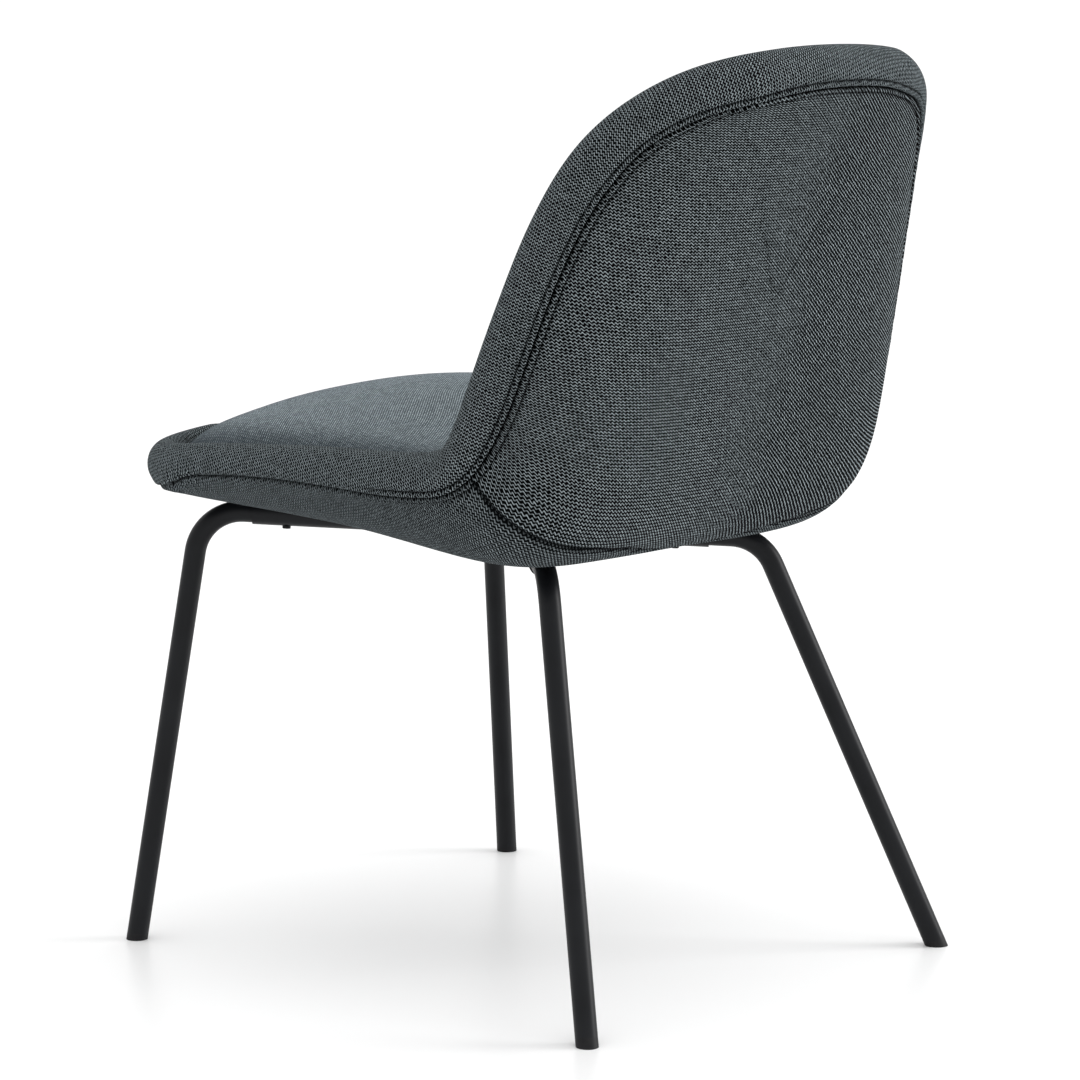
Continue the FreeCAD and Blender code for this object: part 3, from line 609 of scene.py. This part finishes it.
class Nodes:
    """Short way to wire shader nodes."""

    def __init__(self, name):
        self.material = bpy.data.materials.new(name)
        self.material.use_nodes = True
        self.tree = self.material.node_tree
        self.shader = self.tree.nodes["Principled BSDF"]

    def add(self, kind, **settings):
        node = self.tree.nodes.new(kind)
        for key, value in settings.items():
            setattr(node, key, value)
        return node

    def put(self, socket, value):
        if hasattr(value, "is_output"):
            self.tree.links.new(value, socket)
        else:
            socket.default_value = value

    def math(self, operation, *values, clamp=False):
        node = self.add("ShaderNodeMath", operation=operation, use_clamp=clamp)
        for socket, value in zip(node.inputs, values):
            self.put(socket, value)
        return node.outputs[0]

    def noise(self, vector, scale, detail=2.0, roughness=0.5):
        node = self.add("ShaderNodeTexNoise")
        self.put(node.inputs["Vector"], vector)
        node.inputs["Scale"].default_value = scale
        node.inputs["Detail"].default_value = detail
        node.inputs["Roughness"].default_value = roughness
        return node.outputs["Fac"]

    def ramp(self, value, low, high, low_colour, high_colour):
        node = self.add("ShaderNodeValToRGB")
        node.color_ramp.elements[0].position = low
        node.color_ramp.elements[0].color = (*low_colour, 1)
        node.color_ramp.elements[1].position = high
        node.color_ramp.elements[1].color = (*high_colour, 1)
        self.put(node.inputs["Fac"], value)
        return node.outputs["Color"]

    def bump(self, height, strength, distance):
        node = self.add("ShaderNodeBump")
        node.inputs["Strength"].default_value = strength
        node.inputs["Distance"].default_value = distance
        self.put(node.inputs["Height"], height)
        self.put(self.shader.inputs["Normal"], node.outputs["Normal"])

    def object_space(self):
        return self.add("ShaderNodeTexCoord").outputs["Object"]


def woven_cloth(name, row, stitch, gap, yarn, sharp, turned=False, twill=0.0, sheen=0.012):
    """Melange cloth: wavy light yarn rows over a near-black ground, partly dark yarn and partly painted
    shade in the gaps between threads.

    Rows and stitches are lengths in metres, gap and yarn the lightness of the ground and the
    thread. With twill, the rows turn into slanting lines towards the sitter's right.
    """
    n = Nodes(name)
    tau = 2 * math.pi
    place = n.add("ShaderNodeUVMap", uv_map="cloth").outputs["UV"]
    split = n.add("ShaderNodeSeparateXYZ")
    n.put(split.inputs[0], place)
    side = split.outputs[0]
    across, along = split.outputs[0], split.outputs[1]
    if turned:
        across, along = along, across
    drift = n.noise(place, 9.0, 1.0)
    jitter = n.noise(place, 240.0, 2.0)
    fuzz = n.noise(place, 1400.0, 2.0)
    rows = n.math("DIVIDE", along, row)
    rows = n.math("ADD", rows, n.math("MULTIPLY", jitter, 0.7))
    columns = n.math("DIVIDE", across, stitch)
    phase = n.math("ADD", columns, n.math("MULTIPLY", rows, -0.19))
    phase = n.math("ADD", phase, n.math("MULTIPLY", drift, 4.0))
    phase = n.math("ADD", phase, n.math("MULTIPLY", jitter, 0.8))
    angle = n.math("MULTIPLY", phase, tau)
    wave = n.math("SINE", angle)
    level = n.math("ADD", rows, n.math("MULTIPLY", wave, 0.23))
    thread = n.math("SINE", n.math("MULTIPLY", level, tau))
    thread = n.math("MULTIPLY_ADD", thread, 0.5, 0.5)
    stroke = n.math("MULTIPLY_ADD", n.math("COSINE", angle), -0.5, 0.5)
    zigzag = n.math("MULTIPLY", thread, n.math("MULTIPLY_ADD", stroke, 0.25, 0.75))
    zigzag = n.math("POWER", zigzag, sharp)
    slant = n.math("SUBTRACT", n.math("MULTIPLY", rows, 0.85), n.math("MULTIPLY", columns, 0.80))
    slant = n.math("ADD", slant, n.math("MULTIPLY", drift, 1.5))
    line = n.math("SINE", n.math("MULTIPLY", slant, tau))
    line = n.math("MULTIPLY_ADD", line, 0.5, 0.5)
    bead = n.math("MULTIPLY_ADD", n.math("SINE", n.math("MULTIPLY", angle, 1.5)), 0.18, 0.82)
    line = n.math("POWER", n.math("MULTIPLY", line, bead), sharp)
    pull = n.math("MULTIPLY_ADD", side, -9.0, 0.5)
    pull = n.math("ADD", pull, n.math("MULTIPLY_ADD", drift, 0.8, -0.4), clamp=True)
    pull = n.math("MULTIPLY", pull, twill)
    relief = n.math("ADD", zigzag, n.math("MULTIPLY", pull, n.math("SUBTRACT", line, zigzag)))
    cell = n.add("ShaderNodeCombineXYZ")
    n.put(cell.inputs[0], n.math("FLOOR", phase))
    n.put(cell.inputs[1], n.math("FLOOR", level))
    speckle = n.add("ShaderNodeTexWhiteNoise", noise_dimensions="2D")
    n.put(speckle.inputs["Vector"], cell.outputs[0])
    fleck = n.math("MULTIPLY_ADD", speckle.outputs["Value"], 0.45, 0.45)
    fleck = n.math("MULTIPLY_ADD", fuzz, 0.7, fleck)
    shade = n.math("MULTIPLY", relief, fleck)
    # Painted shade: a per-point attribute darkens the colour in seams, creases and where the pads meet.
    crease_shade = n.add("ShaderNodeAttribute", attribute_name="crease_shade").outputs["Fac"]
    shade = n.math("MULTIPLY", shade, n.math("MULTIPLY_ADD", crease_shade, -0.85, 1.0))
    light = (yarn * 0.84, yarn * 0.97, yarn * 1.02)
    dark = (gap * 0.75, gap, gap * 1.25)
    n.put(n.shader.inputs["Base Color"], n.ramp(shade, 0.08, 1.0, dark, light))
    n.put(n.shader.inputs["Roughness"], n.math("MULTIPLY_ADD", jitter, 0.2, 0.75))
    n.shader.inputs["Sheen Weight"].default_value = sheen
    n.shader.inputs["Sheen Roughness"].default_value = 0.4
    n.shader.inputs["Sheen Tint"].default_value = (0.62, 0.74, 0.90, 1)
    n.shader.inputs["Specular IOR Level"].default_value = 0.02
    n.bump(relief, 0.8, 0.0010)
    return n.material


def powder_coat():
    n = Nodes("black_powder_coat")
    place = n.object_space()
    fine = n.noise(place, 2600.0, 2.0)
    slow = n.noise(place, 22.0, 3.0)
    dark, light = (0.0045, 0.0050, 0.0062), (0.0080, 0.0088, 0.0105)
    n.put(n.shader.inputs["Base Color"], n.ramp(slow, 0.3, 0.7, dark, light))
    n.put(n.shader.inputs["Roughness"], n.math("MULTIPLY_ADD", slow, 0.10, 0.36))
    n.shader.inputs["Specular IOR Level"].default_value = 0.17
    n.bump(fine, 0.18, 0.0002)
    return n.material


def moulded_plastic():
    n = Nodes("black_plastic")
    place = n.object_space()
    grain = n.noise(place, 1800.0, 3.0)
    scuff = n.noise(place, 120.0, 4.0)
    dark, light = (0.004, 0.004, 0.005), (0.010, 0.010, 0.011)
    n.put(n.shader.inputs["Base Color"], n.ramp(scuff, 0.35, 0.75, dark, light))
    n.put(n.shader.inputs["Roughness"], n.math("MULTIPLY_ADD", scuff, 0.25, 0.42))
    n.shader.inputs["Specular IOR Level"].default_value = 0.22
    n.bump(grain, 0.25, 0.0002)
    return n.material


def zinc_plate():
    n = Nodes("zinc_plated_steel")
    place = n.object_space()
    cloud = n.noise(place, 300.0, 3.0)
    dark, light = (0.36, 0.37, 0.39), (0.56, 0.57, 0.58)
    n.put(n.shader.inputs["Base Color"], n.ramp(cloud, 0.3, 0.7, dark, light))
    n.shader.inputs["Metallic"].default_value = 1.0
    n.put(n.shader.inputs["Roughness"], n.math("MULTIPLY_ADD", cloud, 0.3, 0.28))
    n.bump(cloud, 0.1, 0.0001)
    return n.material


def plywood():
    n = Nodes("moulded_plywood")
    place = n.object_space()
    stretch = n.add("ShaderNodeMapping")
    stretch.inputs["Scale"].default_value = (30, 3, 3)
    n.put(stretch.inputs["Vector"], place)
    grain = n.noise(stretch.outputs[0], 6.0, 5.0, 0.6)
    dark, light = (0.36, 0.23, 0.12), (0.58, 0.42, 0.26)
    n.put(n.shader.inputs["Base Color"], n.ramp(grain, 0.3, 0.7, dark, light))
    n.shader.inputs["Roughness"].default_value = 0.6
    n.bump(grain, 0.2, 0.0004)
    return n.material


PANEL_CLOTH = woven_cloth(
    "cloth_back_panel", row=0.0028, stitch=0.0033, gap=0.0003, yarn=0.50, sharp=3.2, twill=1.0,
)
# Painted shade: the underside has the same cloth as the back panel, painted darker for the shade under the
# seat.
UNDER_CLOTH = woven_cloth(
    "cloth_under_panel", row=0.0026, stitch=0.0032, gap=0.0015, yarn=0.33, sharp=2.4,
)
# Painted light: the pads have the same cloth as the panels, painted lighter with a paler ground, for the
# overhead light on the seat.
PAD_CLOTH = woven_cloth(
    "cloth_seat", row=0.0028, stitch=0.0034, gap=0.022, yarn=0.58, sharp=1.6, sheen=0.06,
)
BAND_CLOTH = woven_cloth(
    "cloth_rim_band", row=0.0026, stitch=0.0032, gap=0.0008, yarn=0.46, sharp=2.8, turned=True,
)

FINISHES = {
    "black_steel": powder_coat(),
    "black_plastic": moulded_plastic(),
    "zinc": zinc_plate(),
    "shell_wood": plywood(),
}
FINISH_OF = (
    (("leg_front", "leg_rear", "leg_lock", "cross_tube", "mounting"), "black_steel"),
    (("glide",), "black_plastic"),
    (("shell_board",), "shell_wood"),
    (("seat_bolts", "seat_washers", "seat_spacers", "seat_tee_nuts"), "zinc"),
)

for starts, finish in FINISH_OF:
    for node_name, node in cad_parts.items():
        if node_name.startswith(starts):
            for material_slot in node.material_slots:
                material_slot.material = FINISHES[finish]


# ---------------------------------------------------------------------------
# Outer side: back panel and underside panel.

PANEL_THICKNESS = 0.004
PAD_THICKNESS = 0.006
BAND_THICKNESS = 0.003


def finish_outer(data):
    """Points of an outer panel with its seams and waves, and the painted shade at each point from its
    seams.
    """
    position, normal = data["pos"], data["nrm"]
    distance = data["uvd"][:, 2]
    at = np.round(data["extra"][:, 0]).astype(int) % STATIONS
    across = data["extra"][:, 1]
    lift = strip_relief(at, distance, STRIP_ON_PANEL, PANEL_PUFF) + pucker(at, distance)
    lift = lift - dip(across, CROSS_DIPS) + slow_waves(position)
    crease_shade = strip_seam_shade(at, distance, STRIP_ON_PANEL)
    # Painted shade also along the cross seam between back panel and underside.
    crease_shade = np.clip(crease_shade + bump(across, 0, 0.0014) + 0.2 * bump(across, 0, 0.006), 0, 1)
    return position + normal * lift[:, None], crease_shade


outer_rows = panel_grid("outer", OUTER_SEAM)
for data, name, cloth, nodes in zip(
    cut_panel(outer_rows, back_seam_v),
    ("back_panel", "under_panel"),
    (PANEL_CLOTH, UNDER_CLOTH),
    (("back_outer_cover", "back_outer_foam"), ("under_cover", "under_foam")),
):
    place, crease_shade = finish_outer(data)
    if name == "under_panel":
        place = press_flat(place)
    uv = data["uvd"][:, :2]
    panel = make_piece(name, place, data["nrm"], uv, crease_shade, data["faces"], PANEL_THICKNESS, False)
    settle(panel, cloth, 0.85, *nodes)


# ---------------------------------------------------------------------------
# Sitter's side: seat pad and back pad.

def finish_inner(data):
    """Points of a pad, pulled in along the rim and where the two pads meet, with the painted shade of their
    creases.
    """
    position, normal = data["pos"], data["nrm"]
    distance = data["uvd"][:, 2]
    across = np.abs(data["extra"][:, 1])
    at = np.round(data["extra"][:, 0]).astype(int) % STATIONS
    lift = -TUCK * tuck(distance) - PAD_DIP[at] * np.exp(-((distance / PAD_DIP_REACH) ** 1.6))
    lift = lift - sum(depth * np.exp(-across / reach) for depth, reach in JOIN_DIPS)
    lift = lift + slow_waves(position)
    # Painted shade: dark in the crease at the roll, a wider painted shadow just past the roll that is
    # stronger on the seat, and dark where the two pads meet.
    shade = 0.35 + 0.40 * ease((0.50 - data["extra"][:, 2]) / 0.08)
    crease_shade = tuck(distance) + shade * bump(distance, 0, 0.032) + np.exp(-across / JOIN_DIPS[0][1])
    return position + normal * lift[:, None], np.clip(crease_shade, 0, 1)


inner_rows = panel_grid("inner", INNER_SEAM)
for data, name, nodes in zip(
    cut_panel(inner_rows, pad_join_v),
    ("back_pad", "seat_pad"),
    (("back_inner_cover", "back_foam"), ("seat_cover", "seat_foam")),
):
    place, crease_shade = finish_inner(data)
    uv = data["uvd"][:, :2]
    pad = make_piece(name, place, data["nrm"], uv, crease_shade, data["faces"], PAD_THICKNESS, True)
    settle(pad, PAD_CLOTH, 0.9, *nodes)


# ---------------------------------------------------------------------------
# Rolled rim band between the two seams.

BAND_NEAR_ROWS = NEAR_ROWS[:14]
BAND_MIDDLE_ROWS = 26


def make_band():
    every = np.arange(STATIONS)
    near = BAND_NEAR_ROWS
    grid = []
    low, high = -OUTER_SEAM + near[-1], INNER_SEAM - near[-1]
    levels = [-OUTER_SEAM + step for step in near]
    levels += [low + (high - low) * i / BAND_MIDDLE_ROWS for i in range(1, BAND_MIDDLE_ROWS)]
    levels += [INNER_SEAM - step for step in near[::-1]]
    for level in levels:
        outer_points, outer_normals = skin_point("outer", every, np.maximum(-level, 0))
        inner_points, inner_normals = skin_point("inner", every, np.maximum(level, 0))
        is_inner = (level > 0)[:, None]
        points = np.where(is_inner, inner_points, outer_points)
        normals = np.where(is_inner, inner_normals, outer_normals)
        from_outer = level + OUTER_SEAM
        from_inner = INNER_SEAM - level
        lift = strip_relief(every, from_outer, STRIP_ON_BAND, BAND_PUFF) + pucker(every, from_outer)
        lift = lift - TUCK * tuck(from_inner)
        lift = lift - PAD_DIP * np.exp(-((from_inner / BAND_DIP_REACH) ** 1.5))
        # Painted shade in the seam, the top stitching and the crease where the band meets the pads.
        crease_shade = strip_seam_shade(every, from_outer, STRIP_ON_BAND) + tuck(from_inner)
        crease_shade = np.clip(crease_shade + 0.3 * np.exp(-from_inner / 0.010), 0, 1)
        lift = lift + slow_waves(points)
        uv = np.stack([LOOP_D, level], -1)
        grid.append((points + normals * lift[:, None], normals, uv, crease_shade))
    positions, normals, uv, crease_shade = (np.concatenate([row[k] for row in grid]) for k in range(4))
    faces = []
    for r in range(len(grid) - 1):
        for i in range(STATIONS):
            j = (i + 1) % STATIONS
            low_row, high_row = r * STATIONS, (r + 1) * STATIONS
            faces.append([low_row + i, low_row + j, high_row + j, high_row + i])
    return make_piece("rim_band", positions, normals, uv, crease_shade, faces, BAND_THICKNESS, True)


settle(make_band(), BAND_CLOTH, 0.9, "rim_cover", "rim_foam")


# ---------------------------------------------------------------------------
# Floor, light and camera.

FLOOR_HALF = 40
PHOTO_LENS = 147.5
PHOTO_PLACE = (2.8106, 2.6314 + SHIFT_Y, 0.9717)
PHOTO_YAW = math.radians(-136.893)
PHOTO_PITCH = math.radians(-8.99)


def make_floor():
    mesh = bpy.data.meshes.new("floor")
    corners = [(x * FLOOR_HALF, y * FLOOR_HALF, 0) for x, y in ((-1, -1), (1, -1), (1, 1), (-1, 1))]
    mesh.from_pydata(corners, [], [(0, 1, 2, 3)])
    floor = bpy.data.objects.new("floor", mesh)
    bpy.context.scene.collection.objects.link(floor)
    n = Nodes("studio_floor")
    n.shader.inputs["Base Color"].default_value = (0.88, 0.88, 0.88, 1)
    n.shader.inputs["Roughness"].default_value = 0.35
    n.shader.inputs["Specular IOR Level"].default_value = 0.25
    mesh.materials.append(n.material)


def area_light(name, place, aim, size, power):
    light = bpy.data.lights.new(name, "AREA")
    light.shape = "RECTANGLE"
    light.size, light.size_y = size
    light.energy = power
    lamp = bpy.data.objects.new(name, light)
    lamp.location = place
    direction = Vector(aim) - Vector(place)
    lamp.rotation_euler = direction.to_track_quat("-Z", "Y").to_euler()
    bpy.context.scene.collection.objects.link(lamp)


def sun_light(name, tilt, strength, softness):
    light = bpy.data.lights.new(name, "SUN")
    light.energy = strength
    light.angle = math.radians(softness)
    lamp = bpy.data.objects.new(name, light)
    lamp.location = (0, 0, 4)
    lamp.rotation_euler = [math.radians(angle) for angle in tilt]
    bpy.context.scene.collection.objects.link(lamp)


def make_camera():
    camera = bpy.data.cameras.new("camera")
    camera.sensor_width = 36
    camera.lens = PHOTO_LENS
    shooter = bpy.data.objects.new("camera", camera)
    shooter.location = PHOTO_PLACE
    shooter.rotation_euler = (math.pi / 2 + PHOTO_PITCH, 0, PHOTO_YAW - math.pi / 2)
    bpy.context.scene.collection.objects.link(shooter)
    bpy.context.scene.camera = shooter


make_floor()
sun_light("overhead", (-4, -8, 0), 1.0, 70)
area_light("rear_right", (-2.8, 2.6, 1.5), (0, 0.1, 0.6), (1.4, 1.8), 75)

world = bpy.data.worlds.new("studio")
world.use_nodes = True
world.node_tree.nodes["Background"].inputs["Color"].default_value = (1, 1, 1, 1)
world.node_tree.nodes["Background"].inputs["Strength"].default_value = 1.0
bpy.context.scene.world = world
bpy.context.scene.view_settings.view_transform = "Standard"
make_camera()
